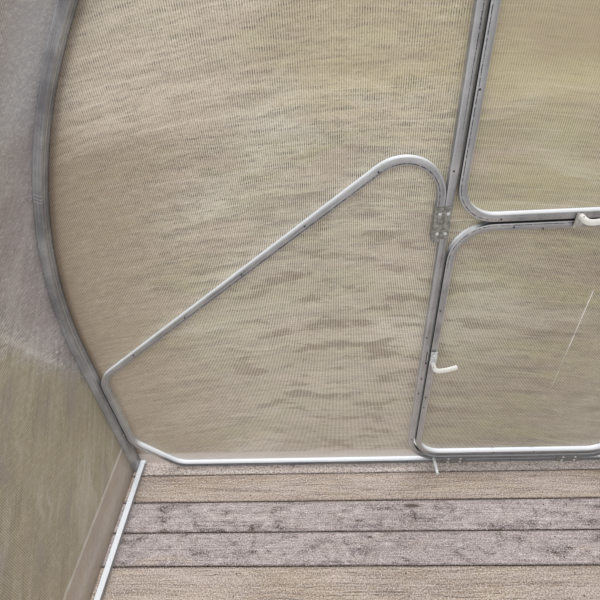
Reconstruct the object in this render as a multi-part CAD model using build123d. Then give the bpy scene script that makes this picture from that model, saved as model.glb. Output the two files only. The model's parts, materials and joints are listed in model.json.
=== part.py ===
from build123d import *
from math import ceil, radians, sqrt, tan
import os

os.makedirs("parts", exist_ok=True)

# Driving dimensions, in millimetres and degrees. The end wall's inside face is the plane y = 0,
# the room lies towards -y, and z = 0 is the ground under the bearers.

# timber floor
bearerHeight = 100
bearerWidth = 50
bearerPitch = 545
plankThickness = 35
plankWidth = 109
plankGap = 3
floorOverhang = 95
sillPlankOuter = 73
frontBearerWidth = 50

# tunnel
halfSpan = 1500
legHeight = 645
archDepth = 40
bay = 1030
bays = 2
purlinAngle = 48

# tube and sheet
tube = 20
wall = 1.2
sheet = 4
rollRadius = 95

# doorway
doorHalf = 385
crownGap = 175
leafGap = 6
footGap = 8
meetingHeight = 1060
meetingGap = 5

# brace loops
braceAngle = 37.3
crestTop = 1239
loopTail = 1013
loopGap = 3
shortDiagonalFoot = 184
shortDiagonalAngle = 45

# clamp plates
clampPlate = 2
clampLength = 90
postClampPitch = 55
sillClampPitch = 46
clampBolt = 6
clampGroove = 4
sillClampInset = 167

# hinges
hingePin = 5
pinClearance = 0.4
knuckleRadius = 5
knuckleLength = 22
knuckleGap = 1
hingePlate = 2
hingeReach = 24
hingeInset = 155

# turn latches
spindle = 8
spindleClearance = 0.8
collarRadius = 7
tongueGap = 5
tonguePlate = 2
tongueWidth = 20
tongueTail = 9
lowerTongueLength = 49
upperTongueLength = 31
leverWidth = 12
leverHeight = 15
leverChamfer = 3.5
leverStandOff = 33
leverReach = 69
leverBend = 11
leverBow = 13
leverBowStart = 27
leverBowRadius = 70
leverMitre = 22.5
lowerLatchHeight = 573
upperLatchX = 75
strikeHeight = 55
strikeDrop = 10
strikeWidth = 6
strikeDepth = 8

# fixings
studInset = 88
studRadius = 6
studReach = 65
baseBolt = 6

# Derived places
floorTop = bearerHeight + plankThickness
frameTop = legHeight + halfSpan - 2 * tube - crownGap
plankPitch = plankWidth + plankGap
archInner = halfSpan - tube
archCentre = halfSpan - tube / 2
springing = floorTop + legHeight
tunnelBack = -bay * bays
sheetInner = tube
sheetOuter = tube + sheet
frameCentre = doorHalf + tube / 2
frameRoll = rollRadius + tube + leafGap
frameBottom = floorTop + 2 * tube
leafHalf = doorHalf - leafGap
leafBottom = frameBottom + footGap
lowerLeafTop = floorTop + meetingHeight - meetingGap / 2
upperLeafBottom = floorTop + meetingHeight + meetingGap / 2
upperLeafTop = floorTop + frameTop - leafGap
leafCorner = rollRadius + tube / 2
loopPost = frameCentre + tube
loopLeg = archInner - loopGap - tube / 2
hingeX = doorHalf - leafGap / 2
hingeY = sheetOuter + hingePlate + knuckleRadius
latchX = leafHalf - tube / 2
studX = doorHalf - studInset
lowerClampX = doorHalf - sillClampInset


def save(shape, name):
    """Write one piece to its own file."""
    solids = shape.solids()
    whole = solids[0] if len(solids) == 1 else Compound(children=list(solids))
    export_step(whole, "parts/" + name + ".step")


def box(x0, x1, y0, y1, z0, z1):
    """A block between two corners."""
    middle = Pos((x0 + x1) / 2, (y0 + y1) / 2, (z0 + z1) / 2)
    return middle * Box(x1 - x0, y1 - y0, z1 - z0)


def rod(x, y0, y1, z, radius):
    """A round bar along y."""
    return Pos(x, (y0 + y1) / 2, z) * Rot(90, 0, 0) * Cylinder(radius, abs(y1 - y0))


def mirrored(shape):
    """The same piece on the other side of the doorway."""
    return mirror(shape, Plane.YZ)


def hexHead(x, y0, y1, z, radius):
    """A six-sided head or nut with its axis along y."""
    return upWall(Pos(x, z) * RegularPolygon(radius, 6), y0, y1)


def upWall(outline, y0, y1):
    """Stand a drawn outline up in the plane of the end wall, from y0 to y1."""
    plane = Plane(origin=(0, y1, 0), x_dir=(1, 0, 0), z_dir=(0, -1, 0))
    return extrude(plane * outline, y1 - y0)


def bentTube(points, roll, yMiddle, depth=tube):
    """A square tube rolled along a path drawn in the plane of the wall."""
    line = FilletPolyline(*points, radius=roll)
    path = Plane(origin=(0, yMiddle, 0), x_dir=(1, 0, 0), z_dir=(0, -1, 0)) * line
    start = Plane(origin=path @ 0, x_dir=(0, 1, 0), z_dir=path % 0)
    outer = sweep(start * Rectangle(depth, tube), path=path)
    inner = sweep(start * Rectangle(depth - 2 * wall, tube - 2 * wall), path=path)
    return outer - inner


def closedTube(half, bottom, top, roll):
    """A closed rectangular frame of tube with rolled corners; half, bottom and top are outer sizes."""
    def ring(inset):
        width = 2 * (half - inset)
        height = top - bottom - 2 * inset
        corner = roll + tube / 2 - inset
        return Pos(0, (top + bottom) / 2) * RectangleRounded(width, height, corner)
    outer = upWall(ring(0) - ring(tube), 0, tube)
    inner = upWall(ring(wall) - ring(tube - wall), wall, tube - wall)
    return outer - inner


# Floor
def makeFloor():
    bearerBack = tunnelBack - floorOverhang
    bearerFront = -frontBearerWidth / 2
    reach = halfSpan + floorOverhang
    first = -reach + bearerWidth / 2
    last = reach - bearerWidth / 2
    bearers = []
    x = first
    while x < last:
        bearers.append(box(x - bearerWidth / 2, x + bearerWidth / 2, bearerBack, bearerFront, 0, bearerHeight))
        x += bearerPitch
    bearers.append(box(last - bearerWidth / 2, last + bearerWidth / 2, bearerBack, bearerFront, 0, bearerHeight))
    save(Compound(children=bearers), "floor_bearers")
    save(box(-reach, reach, bearerFront, -bearerFront, 0, bearerHeight), "front_bearer")

    sill = box(-reach, reach, sillPlankOuter - plankWidth, sillPlankOuter, bearerHeight, floorTop)
    save(sill, "sill_plank")
    planks = []
    y = sillPlankOuter - plankPitch
    while y - plankWidth > bearerBack - plankPitch / 2:
        planks.append(box(-reach, reach, y - plankWidth, y, bearerHeight, floorTop))
        y -= plankPitch
    save(Compound(children=planks), "floor_planks")


# Arches, rails and purlins
def archTube(y):
    legs = [(-archCentre, floorTop), (-archCentre, springing)]
    left = Line(*legs)
    crown = CenterArc((0, springing), archCentre, 180, -180)
    right = Line((archCentre, springing), (archCentre, floorTop))
    line = Wire(left.edges() + crown.edges() + right.edges())
    path = Plane(origin=(0, y, 0), x_dir=(1, 0, 0), z_dir=(0, -1, 0)) * line
    start = Plane(origin=(-archCentre, y, floorTop), x_dir=(0, 1, 0), z_dir=(0, 0, 1))
    outer = sweep(start * Rectangle(archDepth, tube), path=path)
    inner = sweep(start * Rectangle(archDepth - 2 * wall, tube - 2 * wall), path=path)
    return outer - inner


def alongTunnel(radius, angle):
    """A straight tube along the tunnel, its middle at a radius and angle about the springing line."""
    front = archDepth / 2
    back = tunnelBack - archDepth / 2
    section = Rectangle(tube, tube) - Rectangle(tube - 2 * wall, tube - 2 * wall)
    bar = Plane(origin=(0, front, 0), x_dir=(1, 0, 0), z_dir=(0, -1, 0)) * section
    bar = extrude(bar, front - back)
    return Pos(0, 0, springing) * Rot(0, angle, 0) * Pos(0, 0, radius) * bar


def makeTunnel():
    for name, step in (("end_arch", 0), ("middle_arch", 1), ("joint_arch", 2)):
        save(archTube(-bay * step), name)
    purlinCentre = sqrt(archInner ** 2 - (tube / 2) ** 2) - tube / 2
    save(alongTunnel(purlinCentre, 0), "ridge_purlin")
    save(alongTunnel(purlinCentre, -purlinAngle), "left_purlin")
    save(alongTunnel(purlinCentre, purlinAngle), "right_purlin")

    railX = archInner - tube / 2
    section = Rectangle(tube, tube) - Rectangle(tube - 2 * wall, tube - 2 * wall)
    start = Plane(origin=(-railX, archDepth / 2, floorTop + tube / 2), x_dir=(1, 0, 0), z_dir=(0, -1, 0))
    rail = extrude(start * section, archDepth - tunnelBack)
    bolts = []
    for step in range(bays + 1):
        y = -bay * step + archDepth / 2 - baseBolt
        z = floorTop + tube - baseBolt * 0.9
        side = Plane(origin=(-railX + tube / 2, 0, 0), x_dir=(0, 1, 0), z_dir=(1, 0, 0))
        bolt = extrude(side * (Pos(y, z) * RegularPolygon(baseBolt * 0.9, 6)), 4)
        bolts.append(bolt)
        bolts.append(mirrored(bolt))
    save(rail, "left_base_rail")
    save(mirrored(rail), "right_base_rail")
    save(Compound(children=bolts), "base_bolts")


# Brace loops: one tube each, from the clamp on the post over the crest, down the long diagonal, beside
# the arch's leg, down the short diagonal and along the sill to the middle of the doorway
def makeLoops():
    crestCentre = floorTop + crestTop - tube / 2 - rollRadius
    apex = crestCentre + rollRadius / tan(radians((90 - braceAngle) / 2))
    shoulder = apex - (loopLeg - loopPost) * tan(radians(braceAngle))
    sillZ = floorTop + tube / 2
    heel = sillZ + (loopLeg - halfSpan + shortDiagonalFoot) * tan(radians(shortDiagonalAngle))
    points = [
        (-loopPost, floorTop + loopTail),
        (-loopPost, apex),
        (-loopLeg, shoulder),
        (-loopLeg, heel),
        (-halfSpan + shortDiagonalFoot, sillZ),
        (-0.5, sillZ),
    ]
    loop = bentTube(points, rollRadius, tube / 2)
    save(loop, "left_brace_loop")
    save(mirrored(loop), "right_brace_loop")


# Door frame, head ties and clamps
def makeDoorFrame():
    outerHalf = doorHalf + tube
    frame = closedTube(outerHalf, floorTop + tube, floorTop + frameTop + tube, frameRoll)
    slotFoot = floorTop + lowerLatchHeight - strikeDrop
    slot = box(-doorHalf - strikeWidth, -doorHalf + 1, -1, strikeDepth, slotFoot, slotFoot + strikeHeight)
    save(frame - slot, "door_frame")

    tieX = outerHalf - rollRadius - 2 * tube
    crown = Pos(0, 0, springing) * Rot(90, 0, 0) * Cylinder(archInner, 4 * tube)
    tie = box(-tieX - tube / 2, -tieX + tube / 2, 0, tube, floorTop + frameTop + tube, springing + archInner)
    hollow = box(-tieX - tube / 2 + wall, -tieX + tube / 2 - wall, wall, tube - wall,
                 floorTop + frameTop, springing + archInner + tube)
    tie = (tie - hollow) & crown
    save(Compound(children=[tie, mirrored(tie)]), "head_ties")

    postMiddle = doorHalf + tube
    clampBase = floorTop + loopTail + 8
    plate = box(-postMiddle - tube - clampPlate, -postMiddle + tube - 2, -clampPlate, 0,
                clampBase, clampBase + clampLength)
    flange = box(-postMiddle - tube - clampPlate, -postMiddle - tube, 0, tube,
                 clampBase, clampBase + clampLength)
    seam = box(-postMiddle - clampGroove / 2, -postMiddle + clampGroove / 2, -clampPlate, -clampPlate / 3,
               clampBase, clampBase + clampLength)
    postClamp = plate + flange - seam
    sillClamp = box(-lowerClampX - clampLength / 2, -lowerClampX + clampLength / 2, -clampPlate, 0,
                    floorTop + 1, floorTop + 2 * tube - 1)
    seam = box(-lowerClampX - clampLength / 2, -lowerClampX + clampLength / 2, -clampPlate, -clampPlate / 3,
               floorTop + tube - clampGroove / 2, floorTop + tube + clampGroove / 2)
    sillClamp = sillClamp - seam
    clamps = [postClamp, mirrored(postClamp), sillClamp, mirrored(sillClamp)]
    save(Compound(children=clamps), "clamp_plates")

    bolts = []
    for x in (-postMiddle - tube / 2, -postMiddle + tube / 2):
        for step in (-1, 1):
            z = clampBase + clampLength / 2 + step * postClampPitch / 2
            bolts.append(hexHead(x, -clampPlate - 3, -clampPlate, z, clampBolt * 0.8))
    for z in (floorTop + tube / 2, floorTop + tube * 1.5):
        for step in (-1, 1):
            x = -lowerClampX + step * sillClampPitch / 2
            bolts.append(hexHead(x, -clampPlate - 3, -clampPlate, z, clampBolt * 0.8))
    bolts += [mirrored(bolt) for bolt in bolts]
    save(Compound(children=bolts), "clamp_bolts")
    stud = upWall(Pos(-studX, floorTop + tube * 1.5) * RegularPolygon(studRadius, 12), -studReach, 0)
    save(stud, "frame_stud")


# Sheets of the end wall and of the tunnel
def makeSheets():
    def underArch(radius):
        dome = Pos(0, springing) * Circle(radius)
        legs = Pos(0, floorTop + legHeight / 2) * Rectangle(2 * radius, legHeight)
        lid = Pos(0, springing + radius / 2) * Rectangle(2 * radius, radius)
        return (dome & lid) + legs

    whole = underArch(halfSpan - 0.3)
    edge = doorHalf + 3
    top = floorTop + frameTop + 3
    side = Pos(-(edge + halfSpan / 2), springing) * Rectangle(halfSpan, 4 * halfSpan)
    left = upWall(whole & side, sheetInner, sheetOuter)
    save(left, "left_wall_sheet")
    save(mirrored(left), "right_wall_sheet")
    head = whole & (Pos(0, top + halfSpan / 2) * Rectangle(2 * edge - 0.4, halfSpan))
    save(upWall(head, sheetInner, sheetOuter), "head_sheet")

    corner = leafCorner + leafGap + 3
    base = frameBottom - 3
    hole = Pos(0, (base + top) / 2) * RectangleRounded(2 * edge, top - base, corner)
    low = Pos(-edge + 0.2 + corner / 2, (floorTop + base + corner) / 2) * Rectangle(corner, base + corner - floorTop)
    high = Pos(-edge + 0.2 + corner / 2, top - corner / 2) * Rectangle(corner, corner - 0.2)
    pieces = []
    for patch in (low, high):
        piece = upWall(patch - hole, sheetInner, sheetOuter)
        pieces += [piece, mirrored(piece)]
    save(Compound(children=pieces), "corner_sheets")

    outer = underArch(halfSpan + sheet)
    inner = underArch(halfSpan)
    shell = upWall(outer - inner, tunnelBack - archDepth / 2 + sheet, sheetOuter)
    save(shell, "cover_sheet")


# Leaves of the door
def leafSheet(bottom, top, roundLow):
    """A leaf's sheet, rolled corners at one end and square ones at the meeting gap."""
    height = top - bottom
    rounded = RectangleRounded(2 * leafHalf, height, leafCorner)
    squareEnd = Pos(0, height / 4 if roundLow else -height / 4) * Rectangle(2 * leafHalf, height / 2)
    return upWall(Pos(0, (top + bottom) / 2) * (rounded + squareEnd), sheetInner, sheetOuter)


def spindleHole(x, z):
    """The drilled way for a latch's square spindle, wide enough for its corners to turn."""
    hole = RegularPolygon(spindle / sqrt(2) + spindleClearance, 8, major_radius=False)
    return upWall(Pos(x, z) * hole, -tube, 3 * tube)


def makeLeaves():
    lowerZ = floorTop + lowerLatchHeight
    frame = closedTube(leafHalf, leafBottom, lowerLeafTop, rollRadius)
    save(frame - spindleHole(-latchX, lowerZ), "lower_leaf_frame")
    panel = leafSheet(leafBottom, lowerLeafTop, True)
    save(panel - spindleHole(-latchX, lowerZ), "lower_leaf_sheet")

    upperZ = upperLeafBottom + tube / 2
    frame = closedTube(leafHalf, upperLeafBottom, upperLeafTop, rollRadius)
    save(frame - spindleHole(-upperLatchX, upperZ), "upper_leaf_frame")
    panel = leafSheet(upperLeafBottom, upperLeafTop, False)
    save(panel - spindleHole(-upperLatchX, upperZ), "upper_leaf_sheet")


# Hinges on the outside: the post half carries the pin and two knuckles, the leaf half one knuckle
def knuckle(z0, z1):
    return Pos(hingeX, hingeY, z0) * extrude(RegularPolygon(knuckleRadius, 12), z1 - z0)


def pin(z0, z1, clearance):
    """The twelve-sided pin, or with a clearance the bore it turns in."""
    outline = RegularPolygon(hingePin / 2 + clearance, 12, major_radius=clearance == 0)
    return Pos(hingeX, hingeY, z0) * extrude(outline, z1 - z0)


def hingeHalves(z):
    half = knuckleLength / 2
    inner = half + knuckleGap
    outer = inner + knuckleLength
    plateBack = sheetOuter + hingePlate

    post = box(hingeX, hingeX + hingeReach, sheetOuter, plateBack, z - outer, z + outer)
    post = post - box(hingeX, hingeX + knuckleRadius + 1.5, sheetOuter, plateBack, z - inner, z + inner)
    for z0, z1 in ((z - outer, z - inner), (z + inner, z + outer)):
        post = post + knuckle(z0, z1) + box(hingeX, hingeX + knuckleRadius, sheetOuter, hingeY, z0, z1)
    post = post + pin(z - inner, z + inner, 0)

    leaf = box(hingeX - hingeReach, hingeX - knuckleRadius, sheetOuter, plateBack, z - outer, z + outer)
    leaf = leaf + box(hingeX - knuckleRadius, hingeX, sheetOuter, hingeY, z - half, z + half)
    leaf = leaf + knuckle(z - half, z + half)
    leaf = leaf - pin(z - half, z + half, pinClearance)
    return post, leaf


def makeHinges():
    posts = []
    for name, bottom, top in (("lower", leafBottom, lowerLeafTop), ("upper", upperLeafBottom, upperLeafTop)):
        leaves = []
        for z in (bottom + hingeInset, top - hingeInset):
            post, leaf = hingeHalves(z)
            posts.append(post)
            leaves.append(leaf)
        save(Compound(children=leaves), name + "_leaf_hinges")
    save(Compound(children=posts), "post_hinges")


# Turn latches: a cranked lever inside, a flat tongue under it on the square spindle, and a lever outside
def mitredLine(line):
    """The same line with each bend cut into short straight chords."""
    points = [line @ 0]
    for edge in line.edges():
        turn = edge.tangent_angle_at(1) - edge.tangent_angle_at(0)
        turn = abs((turn + 180) % 360 - 180)
        chords = max(1, ceil(turn / leverMitre))
        points += [edge @ (step / chords) for step in range(1, chords + 1)]
    return Polyline(*points)


def lever(x, z, face, outward):
    """A lever from its foot at depth face: out along y, round the elbow, along x and bowed back to its tip."""
    far = face + outward * leverStandOff
    tip = far - outward * leverBow
    line = FilletPolyline((x, face), (x, far), (x + leverBowStart, far), (x + leverReach, tip),
                          radius=[leverBend, leverBowRadius])
    path = Pos(0, 0, z) * mitredLine(line)
    start = Plane(origin=path @ 0, x_dir=(1, 0, 0), z_dir=path % 0)
    section = Rectangle(leverWidth, leverHeight)
    section = chamfer(section.vertices(), leverChamfer)
    return sweep(start * section, path=path, transition=Transition.RIGHT)


def spindleBar(x, z, y0, y1):
    return box(x - spindle / 2, x + spindle / 2, y0, y1, z - spindle / 2, z + spindle / 2)


def tongue(x, z, reach):
    """The latch plate on the spindle, held off the tubes by a round collar."""
    plateFace = -tongueGap - tonguePlate
    low, high = sorted((z - tongueTail if reach > 0 else z + tongueTail, z + reach))
    plate = box(x - tongueWidth / 2, x + tongueWidth / 2, plateFace, -tongueGap, low, high)
    shaft = spindleBar(x, z, plateFace - leverStandOff / 3, sheetOuter + leverStandOff / 3)
    collar = rod(x, -tongueGap, -0.3, z, collarRadius)
    return plate + shaft + collar


def makeLatches():
    lowerZ = floorTop + lowerLatchHeight
    upperZ = upperLeafBottom + tube / 2
    latches = (("lower", -latchX, lowerZ, lowerTongueLength), ("upper", -upperLatchX, upperZ, -upperTongueLength))
    for name, x, z, reach in latches:
        plate = tongue(x, z, reach)
        inner = lever(x, z, -tongueGap - tonguePlate, -1) - plate
        outer = lever(x, z, sheetOuter + 0.3, 1) - plate
        save(inner, name + "_inside_lever")
        save(plate, name + "_latch_tongue")
        save(outer, name + "_outside_lever")


makeFloor()
makeTunnel()
makeLoops()
makeDoorFrame()
makeSheets()
makeLeaves()
makeHinges()
makeLatches()
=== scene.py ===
import bpy
import bmesh
import json
import math
from mathutils import Matrix, Vector


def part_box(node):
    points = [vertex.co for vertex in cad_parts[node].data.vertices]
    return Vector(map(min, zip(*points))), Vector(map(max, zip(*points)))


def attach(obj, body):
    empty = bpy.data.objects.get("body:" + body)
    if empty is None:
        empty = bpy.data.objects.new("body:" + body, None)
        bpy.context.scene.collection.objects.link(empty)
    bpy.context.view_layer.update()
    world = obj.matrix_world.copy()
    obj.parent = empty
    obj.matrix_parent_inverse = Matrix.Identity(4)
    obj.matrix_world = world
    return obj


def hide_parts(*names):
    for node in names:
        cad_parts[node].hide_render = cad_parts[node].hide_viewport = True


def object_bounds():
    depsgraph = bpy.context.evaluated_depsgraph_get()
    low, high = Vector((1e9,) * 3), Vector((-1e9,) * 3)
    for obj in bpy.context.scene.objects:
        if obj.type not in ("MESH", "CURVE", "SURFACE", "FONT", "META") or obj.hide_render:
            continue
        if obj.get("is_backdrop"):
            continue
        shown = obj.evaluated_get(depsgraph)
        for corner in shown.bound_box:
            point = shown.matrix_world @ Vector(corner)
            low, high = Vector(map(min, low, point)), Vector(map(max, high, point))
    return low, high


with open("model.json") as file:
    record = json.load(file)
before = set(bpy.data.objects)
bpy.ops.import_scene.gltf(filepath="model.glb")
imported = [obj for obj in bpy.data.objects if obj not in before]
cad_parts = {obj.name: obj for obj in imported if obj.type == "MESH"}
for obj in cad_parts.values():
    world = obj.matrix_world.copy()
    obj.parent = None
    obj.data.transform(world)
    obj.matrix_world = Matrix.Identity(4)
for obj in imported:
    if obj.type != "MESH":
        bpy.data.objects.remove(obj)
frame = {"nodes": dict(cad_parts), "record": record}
cadLow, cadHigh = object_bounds()
record = frame["record"]
nodes = frame["nodes"]

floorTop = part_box("sill_plank")[1].z
print("frame loaded:", len(nodes), "nodes")


def shown(name, data):
    # a new object in the scene
    item = bpy.data.objects.new(name, data)
    bpy.context.scene.collection.objects.link(item)
    return item


def baked(item):
    # its mesh with every modifier applied
    graph = bpy.context.evaluated_depsgraph_get()
    return bpy.data.meshes.new_from_object(item.evaluated_get(graph), depsgraph=graph)


# Camera, floor and light
cameraView = {"place": (-0.7092, -0.9907, 1.7435), "turn": 3.764, "dip": 37.739, "roll": -4.347, "lens": 26.4}
studio = {"floorColour": (0.70, 0.695, 0.68), "world": 0.74, "keyStrength": 1.45, "keyFrom": (0.1, 1.0, 1.0),
          "keySpread": 50, "fillStrength": 0.5, "fillFrom": (-0.5, -1.0, 1.0), "fillSpread": 60,
          "floorReach": 14.0, "worldColour": (1.0, 0.99, 0.975), "backdrop": 0.93}


def makeCamera(view):
    turn, dip, roll = (math.radians(view[key]) for key in ("turn", "dip", "roll"))
    ahead = Vector((-math.sin(turn) * math.cos(dip), math.cos(turn) * math.cos(dip), -math.sin(dip)))
    level = Vector((math.cos(turn), math.sin(turn), 0))
    up = level.cross(ahead)
    right = level * math.cos(roll) + up * math.sin(roll)
    above = up * math.cos(roll) - level * math.sin(roll)
    data = bpy.data.cameras.new("photoCamera")
    data.lens = view["lens"]
    data.sensor_width = 36
    data.clip_start = 0.02
    data.clip_end = 100
    camera = shown("photoCamera", data)
    turned = Matrix((right, above, -ahead)).transposed().to_4x4()
    camera.matrix_world = Matrix.Translation(view["place"]) @ turned
    bpy.context.scene.camera = camera


def addSun(name, strength, source, spread):
    data = bpy.data.lights.new(name, "SUN")
    data.energy = strength
    data.angle = math.radians(spread)
    lamp = shown(name, data)
    lamp.rotation_mode = "QUATERNION"
    lamp.rotation_quaternion = Vector(source).to_track_quat("Z", "Y")


# Shader maths as plain expressions
def feed(tree, socket, value):
    if isinstance(value, Wire):
        tree.links.new(value.socket, socket)
    elif isinstance(value, (tuple, list)) and socket.type == "RGBA" and len(value) == 3:
        socket.default_value = (*value, 1.0)
    else:
        socket.default_value = value


class Wire:
    def __init__(self, socket):
        self.socket = socket
        self.tree = socket.id_data

    def work(self, operation, *values):
        node = self.tree.nodes.new("ShaderNodeMath")
        node.operation = operation
        for socket, value in zip(node.inputs, values):
            feed(self.tree, socket, value)
        return Wire(node.outputs[0])


# what a wire answers to, and the node operation behind it; the last three also with the wire second
wireSigns = {
    "__truediv__": "DIVIDE", "__pow__": "POWER", "__abs__": "ABSOLUTE", "most": "MAXIMUM", "least": "MINIMUM",
    "whole": "FLOOR", "__add__": "ADD", "__sub__": "SUBTRACT", "__mul__": "MULTIPLY"}
for sign, kind in wireSigns.items():
    setattr(Wire, sign, lambda self, *other, kind=kind: self.work(kind, self, *other))
for sign in ("__add__", "__sub__", "__mul__"):
    setattr(Wire, "__r" + sign[2:], lambda self, other, kind=wireSigns[sign]: self.work(kind, other, self))


class Board:
    # a node tree, and the one way to put a node on it
    def add(self, kind, settings=None, values=None, out=0):
        node = self.tree.nodes.new(kind)
        for key, value in (settings or {}).items():
            setattr(node, key, value)
        for key, value in (values or {}).items():
            feed(self.tree, node.inputs[key], value)
        return Wire(node.outputs[out])


class Finish(Board):
    # one node material, with its shader and its patterns
    def __init__(self, name, look, **constants):
        self.look = look
        self.material = bpy.data.materials.new(name)
        self.material.use_nodes = True
        self.tree = self.material.node_tree
        self.shader = next(n for n in self.tree.nodes if n.type == "BSDF_PRINCIPLED")
        for key, value in constants.items():
            self.set(key.replace("_", " "), value)
        self.place = self.add("ShaderNodeTexCoord", out="Object")
        self.x = self.add("ShaderNodeSeparateXYZ", {}, {"Vector": self.place}, out="X")
        split = self.x.socket.node
        self.y = Wire(split.outputs["Y"])
        self.z = Wire(split.outputs["Z"])

    def set(self, socket, value):
        feed(self.tree, self.shader.inputs[socket], value)

    def vector(self, x, y, z):
        return self.add("ShaderNodeCombineXYZ", {}, {"X": x, "Y": y, "Z": z})

    def noise(self, vector, scale, detail=3.0, rough=0.5):
        values = {"Vector": vector, "Scale": scale, "Detail": detail, "Roughness": rough}
        return self.add("ShaderNodeTexNoise", {}, values)

    def drawn(self, x, y, z, detail, rough=0.5):
        # noise stretched by the rates on the three places
        return self.noise(self.vector(x, y, z), 1.0, detail, rough)

    def cells(self, vector, scale, out="Distance"):
        return self.add("ShaderNodeTexVoronoi", {}, {"Vector": vector, "Scale": scale}, out=out)

    def ramp(self, value, low, high):
        # eases from nought at low to one at high
        values = {"Value": value, "From Min": low, "From Max": high}
        return self.add("ShaderNodeMapRange", {"interpolation_type": "SMOOTHSTEP"}, values)

    def fall(self, value, low, high):
        return 1.0 - self.ramp(value, low, high)

    def band(self, value, low, high):
        # full where the value is near zero, gone on both sides
        return self.fall(abs(value), low, high)

    def coat(self, factor, tone):
        # one more layer over the colour so far, in a tone of the look
        self.colour = self.blend(factor, self.colour, self.look[tone])

    def lay(self, value, start, full, strength, tone):
        # a coat that eases in from start to full, whichever of the two is larger
        mask = self.ramp(value, start, full) if start < full else self.fall(value, full, start)
        self.coat(mask * strength, tone)

    def blend(self, factor, first, second):
        node = self.tree.nodes.new("ShaderNodeMix")
        node.data_type = "RGBA"
        feed(self.tree, node.inputs[0], factor)
        feed(self.tree, node.inputs[6], first)
        feed(self.tree, node.inputs[7], second)
        return Wire(node.outputs[2])

    def bump(self, height, strength, distance):
        values = {"Height": height, "Strength": strength, "Distance": distance}
        self.set("Normal", self.add("ShaderNodeBump", {}, values))


# Twin-wall sheet: ribs every 5 mm, a dusty film and long smears across the ribs, on the wall partly a painted
# sheen
sheetLook = {
    "pale": (0.76, 0.675, 0.515), "deep": (0.31, 0.245, 0.165), "olive": (0.52, 0.49, 0.26),
    "rose": (0.66, 0.535, 0.44), "brown": (0.38, 0.29, 0.20), "shade": (0.05, 0.037, 0.024),
    "light": (0.95, 0.905, 0.79), "blush": (0.86, 0.73, 0.60), "blushOver": (0.90, 0.77, 0.64),
    "straw": (0.70, 0.60, 0.33), "strawOver": (0.72, 0.62, 0.36), "grime": (0.17, 0.11, 0.075),
    "dust": (0.74, 0.67, 0.635), "moss": (0.375, 0.32, 0.18), "mauve": (0.37, 0.32, 0.33),
    "sky": (0.45, 0.465, 0.50), "earth": (0.46, 0.375, 0.33), "scratch": (0.95, 0.93, 0.88),
    "ribPitch": 0.0050, "ribDepth": 0.21, "ribCrest": 0.43, "film": 250.0, "speckle": 0.56, "rows": 0.38,
    "wipes": 0.34, "marks": 1.0, "gloom": 0.40, "green": 0.58, "gloss": 0.24, "alpha": 0.90,
    "arcMiddle": -0.6, "arcBend": 0.156, "arch": 1.480, "springing": 0.780, "purlin": 48}
# a smear's rate across the ribs, its seed, its rate along them, the warp's pull, its detail and roughness
sheetSmears = {
    "threads": (7.0, 5.0, 260.0, 11.0, 4.0, 0.62), "broad": (1.7, 3.0, 4.6, 1.0, 4.0, 0.58),
    "tint": (2.6, 17.0, 8.0, 1.0, 5.0, 0.60), "hue": (3.4, 11.0, 11.0, 1.0, 5.0, 0.62),
    "blotch": (11.0, 7.0, 95.0, 3.0, 5.0, 0.66), "rows": (34.0, 21.0, 125.0, 4.0, 4.0, 0.70),
    "wipes": (1.5, 31.0, 115.0, 3.0, 3.0, 0.55), "clump": (6.5, 41.0, 22.0, 1.0, 4.0, 0.62)}


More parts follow.
